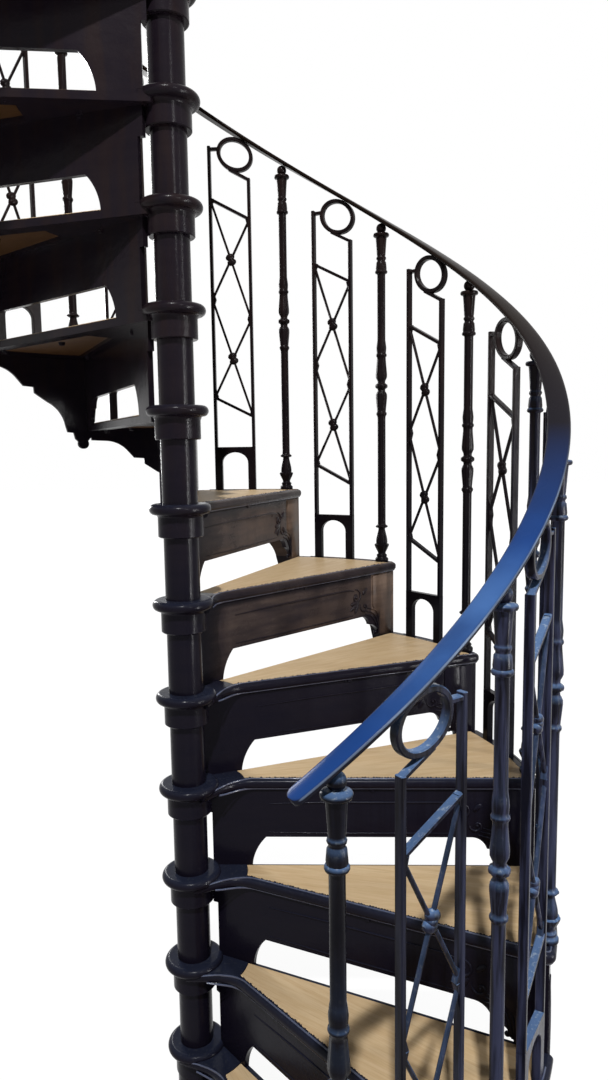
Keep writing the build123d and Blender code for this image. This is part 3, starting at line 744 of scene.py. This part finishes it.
def arched_foot(shape, half):
    """The plate at the panel's foot, with its arch."""
    side, arch = half + PANEL_POST_W / 2, PANEL_ARCH_W / 2
    spring = PANEL_FOOT_TOP - PANEL_ARCH_CROWN - arch * 0.8
    outline = [(arch, 0.0), (side, 0.0), (side, PANEL_FOOT_TOP), (-side, PANEL_FOOT_TOP),
               (-side, 0.0), (-arch, 0.0)]
    rounds = 16
    for i in range(rounds + 1):
        turn = math.pi * (1 - i / rounds)
        outline.append((arch * math.cos(turn), spring + arch * 0.8 * math.sin(turn)))
    plate(shape, outline, PANEL_T, 0.0012, lambda point, depth: panel_point(*point, depth))


def knot(shape, u, z, lean):
    """The cast knot where two rods cross: a boss and two lumps along one rod."""
    along = Vector((math.cos(lean), 0, math.sin(lean)))
    across = Vector((-math.sin(lean), 0, math.cos(lean)))
    out = Vector((0, 1, 0))
    shape.ball(panel_point(u, z), (along * KNOT_R * 0.7, across * KNOT_R * 0.7, out * 0.0095))
    for side in (-1, 1):
        shape.ball(panel_point(u, z) + along * side * KNOT_R * 0.52,
                   (along * KNOT_R * 0.72, across * KNOT_R * 0.95, out * 0.0090))


def gusset(shape, u, z, reach, drop):
    """Small web in the corner between a post and the rods."""
    outline = [(u, z), (u + reach, z), (u, z + drop)]
    if reach * drop < 0:
        outline.reverse()
    plate(shape, outline, PANEL_T * 0.7, 0.0008, lambda point, depth: panel_point(*point, depth))


def panel_shape():
    """Lattice panel: posts, sloping bars, two crosses, knots, ring and arched foot."""
    shape = Shape()
    half = PANEL_R * math.sin((PANEL_REAR - PANEL_FRONT) / 2)
    low = PANEL_FOOT_TOP - 0.004
    panel_bar(shape, (-half, low), (-half, PANEL_FRONT_TOP), PANEL_POST_W, PANEL_T)
    panel_bar(shape, (half, low), (half, PANEL_REAR_TOP), PANEL_POST_W, PANEL_T)
    arched_foot(shape, half)
    oval_ring(shape)
    ring_u, ring_z = ring_centre()
    flank = ring_z - RING_SHORT + RING_BAND / 2
    depth = PANEL_T - 0.0020
    panel_bar(shape, (-half, PANEL_FRONT_TOP - PANEL_BAR_W / 2), (0, flank), PANEL_BAR_W, depth)
    panel_bar(shape, (half, PANEL_REAR_TOP - PANEL_BAR_W),
              (ring_u + RING_SHORT, PANEL_REAR_TOP - PANEL_BAR_W), PANEL_BAR_W, depth)
    for front, rear in (PANEL_UPPER, PANEL_LOWER):
        panel_bar(shape, (-half, front), (half, rear), PANEL_BAR_W, depth)
    front = (PANEL_UPPER[0], (PANEL_UPPER[0] + PANEL_LOWER[0]) / 2, PANEL_LOWER[0])
    rear = (PANEL_UPPER[1], (PANEL_UPPER[1] + PANEL_LOWER[1]) / 2, PANEL_LOWER[1])
    rod = {"width": PANEL_ROD_W, "depth": PANEL_ROD_W + 0.002, "corner": 0.0022}
    for i in range(2):
        panel_bar(shape, (-half, front[i]), (half, rear[i + 1]), **rod)
        panel_bar(shape, (half, rear[i]), (-half, front[i + 1]), **rod)
        middle = (front[i] + front[i + 1] + rear[i] + rear[i + 1]) / 4
        knot(shape, 0.0, middle, math.atan2(rear[i] - front[i + 1], 2 * half))
    inside = half - PANEL_POST_W / 2
    for side, heights in ((-1, front), (1, rear)):
        for height, drop in zip(heights, (-0.026, 0.022, 0.024)):
            gusset(shape, side * inside, height, -side * 0.007, drop)
        gusset(shape, side * inside, heights[1], -side * 0.007, -0.022)
    return shape.moved(panel_space())


# ---------------------------------------------------------------- handrail
def handrail_mesh():
    """Flat strip on a helix: softly rounded top, eased edges and rounded ends."""
    start = FIRST_ANGLE + BALUSTER_ANGLE - RAIL_OVERHANG
    end = FIRST_ANGLE + (TREADS - 1) * TREAD_ANGLE + PANEL_REAR + RAIL_OVERHANG
    bottom = RISE + RAIL_UNDERSIDE - RISE * RAIL_OVERHANG / TREAD_ANGLE
    climb = RISE / TREAD_ANGLE
    length = (end - start) * math.hypot(RAIL_R, climb)
    tilt = math.atan2(climb, RAIL_R)
    ease = [RAIL_END_R * (1 - math.cos(math.pi / 2 * i / 6)) for i in range(6)]
    middle = [RAIL_END_R + (length - 2 * RAIL_END_R) * i / 420 for i in range(421)]
    along = ease + middle + [length - step for step in reversed(ease)]
    shape = Shape()
    rings = []
    for run in along:
        from_end = min(run, length - run, RAIL_END_R)
        trim = RAIL_END_R - math.sqrt(max(RAIL_END_R ** 2 - (RAIL_END_R - from_end) ** 2, 0))
        turn = start + (end - start) * run / length
        height = bottom + climb * (turn - start)
        out = polar(1.0, turn)
        level = Vector((-math.sin(turn), math.cos(turn), 0))
        lift = Vector((0, 0, math.cos(tilt))) - level * math.sin(tilt)
        centre = out * RAIL_R + Vector((0, 0, height))
        rings.append([centre + out * across + lift * up
                      for across, up in rail_section(RAIL_W / 2 - trim)])
    shape.loft(rings)
    return shape.mesh("handrail_strip", sharp=60.0)


def rail_section(half):
    """Half-width to section: flat underside, eased edges and a slightly domed top."""
    edge, dome = 0.0035, 0.0012
    side, top = [], []
    for i in range(5):
        turn = math.pi / 2 * (i / 2 - 1)
        side.append((half - edge + edge * math.cos(turn),
                     RAIL_T / 2 + (RAIL_T / 2 - dome) * math.sin(turn)))
    for i in range(1, 8):
        place = 1 - 2 * i / 8
        top.append(((half - edge) * place, RAIL_T - dome * place ** 2))
    other_side = [(-across, up) for across, up in reversed(side)]
    return [(-half + edge, 0.0), (half - edge, 0.0), *side, *top, *other_side]


# ---------------------------------------------------------------- boards
def board_mesh():
    """The wedge of boards in one tread, with eased edges and the grain's own map."""
    front = NOSING_OFFSET + NOSING_WIDTH + BOARD_GAP
    outer, inner = BOARD_R - BOARD_GAP, BOARD_INNER_R + BOARD_GAP
    back = RISER_FACE - CLEAR - BOARD_GAP
    turn_front = [math.asin(front / radius) for radius in (outer, inner)]
    turn_back = [TREAD_ANGLE + math.asin(back / radius) for radius in (outer, inner)]
    outline = []
    for radius, first, last in ((outer, turn_front[0], turn_back[0]), (inner, turn_back[1], turn_front[1])):
        for i in range(13):
            point = polar(radius, first + (last - first) * i / 12)
            outline.append((point.x, point.y))
    shape = Shape()
    plate(shape, outline, BOARD_T, 0.0012,
          lambda point, depth: Vector((point[0], point[1], depth - BOARD_T / 2)))
    mesh = shape.mesh("board_unit", sharp=20.0)
    grain = mesh.uv_layers.new(name="grain")
    for loop in mesh.loops:
        point = mesh.vertices[loop.vertex_index].co
        turned = Matrix.Rotation(-TREAD_ANGLE / 2, 3, "Z") @ point
        grain.data[loop.index].uv = (turned.x, turned.y + turned.z)
    return mesh


# ---------------------------------------------------------------- relief on the castings
def bead_section(radius, sides=8):
    return [(radius * math.cos(turn), radius * math.sin(turn)) for turn in turns(sides)]


def riser_bead(shape, points, radius, smooth=0):
    """Round bead half sunk in the riser's face, through points given by X and height."""
    path = [Vector((x, RISER_FACE, z)) for x, z in points]
    if smooth:
        path = smooth_run(path, smooth)

    def taper(place):
        return bead_section(radius * (1.0 - 0.55 * abs(2 * place - 1) ** 3))
    sweep(shape, path, taper, Vector((0, -1, 0)))


def scroll(shape, centre, first, last, start_r, end_r, bead):
    """A volute: a bead that winds in towards its middle, with a boss at its eye."""
    points = []
    for i in range(25):
        share = i / 24
        turn = math.radians(first + (last - first) * share)
        radius = start_r * (end_r / start_r) ** share
        points.append((centre[0] + radius * math.cos(turn), centre[1] + radius * math.sin(turn)))
    riser_bead(shape, points, bead)
    shape.ball(Vector((centre[0], RISER_FACE, centre[1])),
               (Vector((end_r, 0, 0)), Vector((0, 0, end_r)), Vector((0, -bead * 1.3, 0))))


def leaf(shape, root, lean, length, width):
    """Pointed leaf on the riser's face."""
    along = Vector((math.cos(math.radians(lean)), 0, math.sin(math.radians(lean))))
    across = Vector((-along.z, 0, along.x))
    out = Vector((0, -0.0035, 0))
    middle = Vector((root[0], RISER_FACE, root[1])) + along * length / 2
    shape.ball(middle, (across * width / 2, out, along * length / 2), around=10, up=8)


def face_plate(shape, outline, proud):
    """Raised flat plate on the riser's face, its outline given by X and height."""
    plate(shape, outline, 2 * proud, proud / 2,
          lambda point, depth: Vector((point[0], RISER_FACE + depth, point[1])))


def close_leg_corner(shape):
    """Fills the corner that the riser's inner leg leaves over the hub's moulding."""
    inner, outer, low, high = 0.0435, 0.0545, 0.0005, 0.0112
    corners = ((inner, low), (outer, low), (outer, high), (inner, high))
    back, front = RISER_FACE + RISER_T - 0.0002, RISER_FACE + 0.0002
    shape.loft([[Vector((x, y, z - RISE)) for x, z in corners] for y in (back, front)])


def riser_relief_mesh():
    """A riser's pilaster, mouldings, scrolls, leaves and ribs, and the lug on its outer leg."""
    shape = Shape()
    sill, lintel = -RISE + 0.002, -TREAD_T - 0.004
    outer, leg, wide = RISER_OUTER - 0.001, RISER_OUTER - 0.050, RISER_OUTER - 0.082
    face_plate(shape, [(leg, sill), (outer, sill), (outer, lintel), (wide, lintel), (wide, -0.112),
                       (leg, -0.146)], 0.003)
    riser_bead(shape, [(0.075, lintel), (outer, lintel)], 0.0035)
    riser_bead(shape, [(outer - 0.005, lintel), (outer - 0.005, sill)], 0.0042)
    riser_bead(shape, [(0.17, -0.058), (0.30, -0.055), (0.44, -0.055), (0.548, -0.055),
                       (0.584, -0.060)], 0.0024, smooth=48)
    riser_bead(shape, [(0.17, -0.124), (0.30, -0.126), (0.46, -0.126), (0.58, -0.126)],
               0.0018, smooth=32)
    scroll(shape, (0.592, -0.078), 100, -330, 0.022, 0.005, 0.0034)
    scroll(shape, (0.626, -0.108), 150, 520, 0.020, 0.004, 0.0030)
    for root, lean, length in (((0.602, -0.092), -150, 0.042), ((0.602, -0.092), -175, 0.034),
                               ((0.602, -0.092), -118, 0.034), ((0.617, -0.075), 40, 0.026)):
        leaf(shape, root, lean, length, 0.012)
    for step_in in (0.0, 0.010, 0.020):
        riser_bead(shape, [(leg - 0.062 + step_in * 0.5, -RISER_BAND + 0.005 + step_in * 0.8),
                           (leg - 0.036 + step_in, -RISER_BAND - 0.004 + step_in * 0.6),
                           (leg - 0.018 + step_in * 0.8, -RISER_BAND - 0.026),
                           (leg - 0.004 + step_in * 0.2, sill + 0.006)], 0.0028, smooth=24)
    lug = Vector((leg - 0.004, RISER_FACE + 0.006, sill + 0.009))
    shape.ball(lug, (Vector((0.012, 0, 0)), Vector((0, 0.004, 0)), Vector((0, 0, 0.0055))))
    shape.ball(lug - Vector((0.010, 0, 0)),
               (Vector((0.006, 0, 0)), Vector((0, 0.0045, 0)), Vector((0, 0, 0.006))))
    close_leg_corner(shape)
    return shape.mesh("riser_relief_unit", sharp=60.0)


def nosing_line(inset_by):
    """Path along a tread's swept front, round its corner and along its outer edge."""
    hub_r = HUB_RIM_R - 0.006 - inset_by * 0.2
    start = polar(hub_r, NOSING_TANGENT)
    leave = Vector((-math.sin(NOSING_TANGENT), math.cos(NOSING_TANGENT), 0))
    end = Vector((NOSING_START, NOSING_OFFSET + inset_by, 0))
    reach = (end - start).length
    path = []
    for i in range(19):
        t = i / 18
        path.append(start * (2 * t ** 3 - 3 * t ** 2 + 1) + leave * reach * (t ** 3 - 2 * t ** 2 + t)
                    + end * (3 * t ** 2 - 2 * t ** 3) + Vector((reach, 0, 0)) * (t ** 3 - t ** 2))
    corner_y = NOSING_OFFSET + TREAD_CORNER_R
    corner_x = on_circle(TREAD_R - TREAD_CORNER_R, corner_y)
    corner_turn = math.atan2(corner_y, corner_x)
    for i in range(1, 12):
        path.append(Vector((NOSING_START + (corner_x - NOSING_START) * i / 12, NOSING_OFFSET + inset_by, 0)))
    for i in range(9):
        turn = -math.pi / 2 + (corner_turn + math.pi / 2) * i / 8
        path.append(Vector((corner_x, corner_y, 0)) + polar(TREAD_CORNER_R - inset_by, turn))
    for i in range(1, 17):
        path.append(polar(TREAD_R - inset_by, corner_turn + (TREAD_ANGLE - corner_turn) * i / 16))
    return path


def nosing_bead_mesh():
    """Fine raised bead along the nosing's shoulder and a second one under its lip.

    Both rise out of the casting near the hub.
    """
    shape = Shape()
    shoulder = (0.0100, -0.0004, 4, -0.0030)
    under_lip = (0.0052, -TREAD_T + 0.0016, 6, 0.0030)
    for inset_by, height, first, sunk in (shoulder, under_lip):
        path = []
        for i, point in enumerate(nosing_line(inset_by)[first:]):
            path.append(point + Vector((0, 0, height + sunk * max(0.0, 1 - i / 5) ** 2)))
        sweep(shape, path, bead_section(0.0020, 6), Vector((0, 0, 1)))
    return shape.mesh("nosing_bead_unit", sharp=60.0)


def nosing_teeth_mesh(material):
    """Small teeth that stand along the nosing's edge against the boards."""
    spacing = 0.0062
    start, end = NOSING_START - 0.012, on_circle(BOARD_R, NOSING_OFFSET) - 0.004
    return grown(TEETH_GROWTH, {
        "From": start, "Spacing": spacing, "Count": int((end - start) / spacing),
        "Radius": 0.0036, "Height": 0.0024, "Behind": NOSING_OFFSET + NOSING_WIDTH - 0.0010,
        "Seed": 7, "Material": material})


def bracket_bead_unit():
    """Bead along a bracket's lower edge, and flutes on its drop, on its outer face."""
    shape = Shape()
    start = math.asin(RISER_FACE / BRACKET_R)
    edge = [(0.292, -0.040), (0.255, -0.042), (0.226, -0.048), (0.204, -0.064), (0.184, -0.088),
            (0.160, -0.092), (0.143, -0.108), (0.118, -0.128), (0.088, -0.152), (0.068, -0.180),
            (0.060, -0.208), (0.044, -0.218), (0.034, -0.238)]
    path = smooth_run([polar(BRACKET_R, start + arc / BRACKET_R, z) for arc, z in edge], 96)
    sweep(shape, path, bead_section(0.0028), outward)
    for arc in (0.010, 0.018, 0.026):
        flute = [polar(BRACKET_R, start + arc / BRACKET_R, z) for z in (-0.060, -0.120, -0.180, -0.232)]
        sweep(shape, flute, bead_section(0.0020), outward)
    return shape


def bracket_beads_mesh():
    """The bracket beads at every step but the first, whose bracket ends at the floor."""
    unit = bracket_bead_unit()
    whole = Shape()
    for step in range(2, TREADS + 1):
        whole.take(unit.moved(step_matrix(step)))
    return whole.mesh("bracket_beads", sharp=60.0)


def hex_bolt(shape, foot, across_flats, height, up=1.0):
    """Hexagon head on a washer."""
    washer, head = across_flats * 0.64, across_flats / math.sqrt(3)
    lip = 0.0008
    for radius, low, high, sides in ((washer, 0.0, 0.0022, 24), (head, 0.0022, 0.0022 + height, 6)):
        rings = []
        for size, level in ((radius, low), (radius, high - lip), (radius - lip, high)):
            rings.append([foot + polar(size, turn, level * up) for turn in turns(sides)])
        shape.loft(rings)


def floor_bolts_mesh():
    shape = Shape()
    for i in range(4):
        foot = polar(BOLT_CIRCLE_R, math.radians(45 + 90 * i), FLANGE_TOP)
        hex_bolt(shape, foot, BOLT_ACROSS_FLATS, 0.008)
    return shape.mesh("floor_bolts", sharp=30.0)


def underside_bolt_mesh():
    """Bolts under a tread: three at its riser and two near its back edge."""
    shape = Shape()
    for radius, turn in UNDERSIDE_BOLTS:
        foot = polar(radius, math.radians(turn), -TREAD_T)
        hex_bolt(shape, foot, 0.013, 0.005, up=-1.0)
    return shape.mesh("underside_bolt_unit", sharp=30.0)


# ---------------------------------------------------------------- the stair
STAIR_GROWTH = stair_growth()
TEETH_GROWTH = teeth_growth()

plain_paint = casting_paint("casting_paint", PAINT)
relief_paint = casting_paint("casting_paint_relief", PAINT, dust=0.15, strip_dust=1.4, sky_reflection=0.03)
# The nosing beads' lighter paint is a painted highlight.
bead_highlight_paint = casting_paint("casting_paint_bead_highlight", BEAD_HIGHLIGHT, dust=0.30, sky_reflection=0.20, gloss=0.30)
rail_casting = casting_paint("casting_paint_rails", RAIL_PAINT, dust=0.0, strip_dust=0.0, sky_reflection=0.9,
                             browning=0.8, gloss=0.05)
# the handrail's paint, with its painted reflections and highlights
rail_paint_painted_sky = rail_paint()
wood = board_wood()
steel = bolt_steel()

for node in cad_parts.values():
    for slot in node.material_slots:
        slot.material = plain_paint

up_the_stair("balusters_carved", baluster_mesh(), rail_casting, "casting_paint", "balusters")
up_the_stair("tread_boards_grained", board_mesh(), wood, "boards", "tread_boards")
up_the_stair("riser_relief", riser_relief_mesh(), relief_paint, "casting_paint")
up_the_stair("nosing_beads", nosing_bead_mesh(), bead_highlight_paint, "casting_paint")
up_the_stair("nosing_teeth", nosing_teeth_mesh(plain_paint), plain_paint, "casting_paint")
up_the_stair("underside_bolts", underside_bolt_mesh(), plain_paint, "casting_paint")

lattice = panel_shape()
for step in range(1, TREADS + 1):
    panel_name = f"rail_panel_{step:02d}"
    panel_mesh = lattice.moved(step_matrix(step)).mesh(panel_name + "_cast", sharp=33.0)
    add_piece(panel_name + "_cast", panel_mesh, rail_casting, "casting_paint", panel_name)

add_piece("handrail_strip", handrail_mesh(), rail_paint_painted_sky, "rail_paint", "handrail")
add_piece("bracket_beads", bracket_beads_mesh(), plain_paint, "casting_paint")
add_piece("floor_bolts", floor_bolts_mesh(), steel, "casting_paint")


# ---------------------------------------------------------------- floor, light and camera
FLOOR_SIZE = 60.0
FLOOR_GREY = (0.85, 0.85, 0.85, 1)
WHITE = (1, 1, 1, 1)
FLOOR_GLOW = 1.08
NEAR_FLOOR, FAR_FLOOR = (0.4, 1.5), (3.0, 6.0)      # distances where the floor turns whiter
VIEW_PLACE = (0.2103, -1.6334, 1.5188)
VIEW_YAW, VIEW_PITCH, VIEW_ROLL = -0.0278, -0.1153, -0.0136
VIEW_LENS, VIEW_FILM = 26.19, 36.0


def ray_is(tree, kind):
    """1 where the surface is met by a ray of this kind."""
    return tree.node("ShaderNodeLightPath", output=f"Is {kind} Ray")


def floor_finish():
    """White floor that still takes the object's shadow."""
    material, tree = new_material("studio_floor")
    matt = tree.node("ShaderNodeBsdfDiffuse", None, {"Color": FLOOR_GREY})
    white = tree.node("ShaderNodeEmission", None, {"Color": WHITE, "Strength": FLOOR_GLOW})
    place = tree.node("ShaderNodeTexCoord", output="Object")
    apart = tree.node("ShaderNodeVectorMath", {"operation": "LENGTH"}, {0: place}, output="Value")
    bright = apart.between(*NEAR_FLOOR) * 0.07 + apart.between(*FAR_FLOOR) * 0.09 + 0.84
    seen = (ray_is(tree, "Camera") + ray_is(tree, "Glossy")).held() * bright
    mixed = tree.node("ShaderNodeMixShader", None, {0: seen, 1: matt, 2: white})
    tree.node("ShaderNodeOutputMaterial", None, {"Surface": mixed})
    return material


def add_floor():
    half = FLOOR_SIZE / 2
    mesh = bpy.data.meshes.new("studio_floor")
    mesh.from_pydata([(-half, -half, 0), (half, -half, 0), (half, half, 0), (-half, half, 0)], [],
                     [(0, 1, 2, 3)])
    mesh.materials.append(floor_finish())
    new_object("studio_floor", mesh)


def light_world(strength):
    """Soft even light all round; white where the camera and reflections see it."""
    world = bpy.data.worlds.new("studio")
    world.use_nodes = True
    world.node_tree.nodes.clear()
    tree = Tree(world.node_tree)
    seen = (ray_is(tree, "Camera") + ray_is(tree, "Glossy") + ray_is(tree, "Transmission")).held()
    plain = tree.node("ShaderNodeBackground", None, {"Color": WHITE, "Strength": strength})
    white = tree.node("ShaderNodeBackground", None, {"Color": WHITE, "Strength": 1.0})
    mixed = tree.node("ShaderNodeMixShader", None, {0: seen, 1: plain, 2: white})
    tree.node("ShaderNodeOutputWorld", None, {"Surface": mixed})
    bpy.context.scene.world = world


def add_lamp(name, place, target, size, power, gloss_only=False):
    """Neutral area lamp that looks at a target; a gloss-only lamp makes highlights and no light."""
    light = bpy.data.lights.new(name, "AREA")
    light.shape, light.size, light.size_y = "RECTANGLE", size[0], size[1]
    light.energy = power
    lamp = new_object(name, light)
    lamp.location = place
    aim = Vector(target) - Vector(place)
    lamp.rotation_euler = aim.to_track_quat("-Z", "Y").to_euler()
    lamp.visible_diffuse = not gloss_only


def add_camera():
    """Eye level beside the foot of the stair, turned a little down."""
    lens = bpy.data.cameras.new("view")
    lens.sensor_width, lens.lens = VIEW_FILM, VIEW_LENS
    camera = new_object("view", lens)
    yaw = Matrix.Rotation(VIEW_YAW, 4, "Z")
    pitch = Matrix.Rotation(math.pi / 2 + VIEW_PITCH, 4, "X")
    roll = Matrix.Rotation(VIEW_ROLL, 4, "Z")
    camera.matrix_world = Matrix.Translation(VIEW_PLACE) @ yaw @ pitch @ roll
    bpy.context.scene.camera = camera


add_floor()
light_world(0.08)
add_lamp("key", (-0.06, -3.88, 6.40), (0.4, -0.15, 0.5), (0.18, 0.18), 370)
add_lamp("side", (3.2, -1.0, 1.8), (0, 0, 1.4), (0.25, 2.6), 38)
add_lamp("back", (-1.6, 3.2, 2.6), (0, 0, 1.5), (0.4, 2.6), 60)
add_lamp("strip", (3.0, -1.7, 1.2), (0.5, -0.4, 1.0), (0.12, 2.0), 90, gloss_only=True)
add_lamp("window", (2.0, -2.9, 3.3), (0, 0, 2.1), (0.16, 1.0), 25, gloss_only=True)
add_camera()
bpy.context.scene.view_settings.view_transform = "Standard"
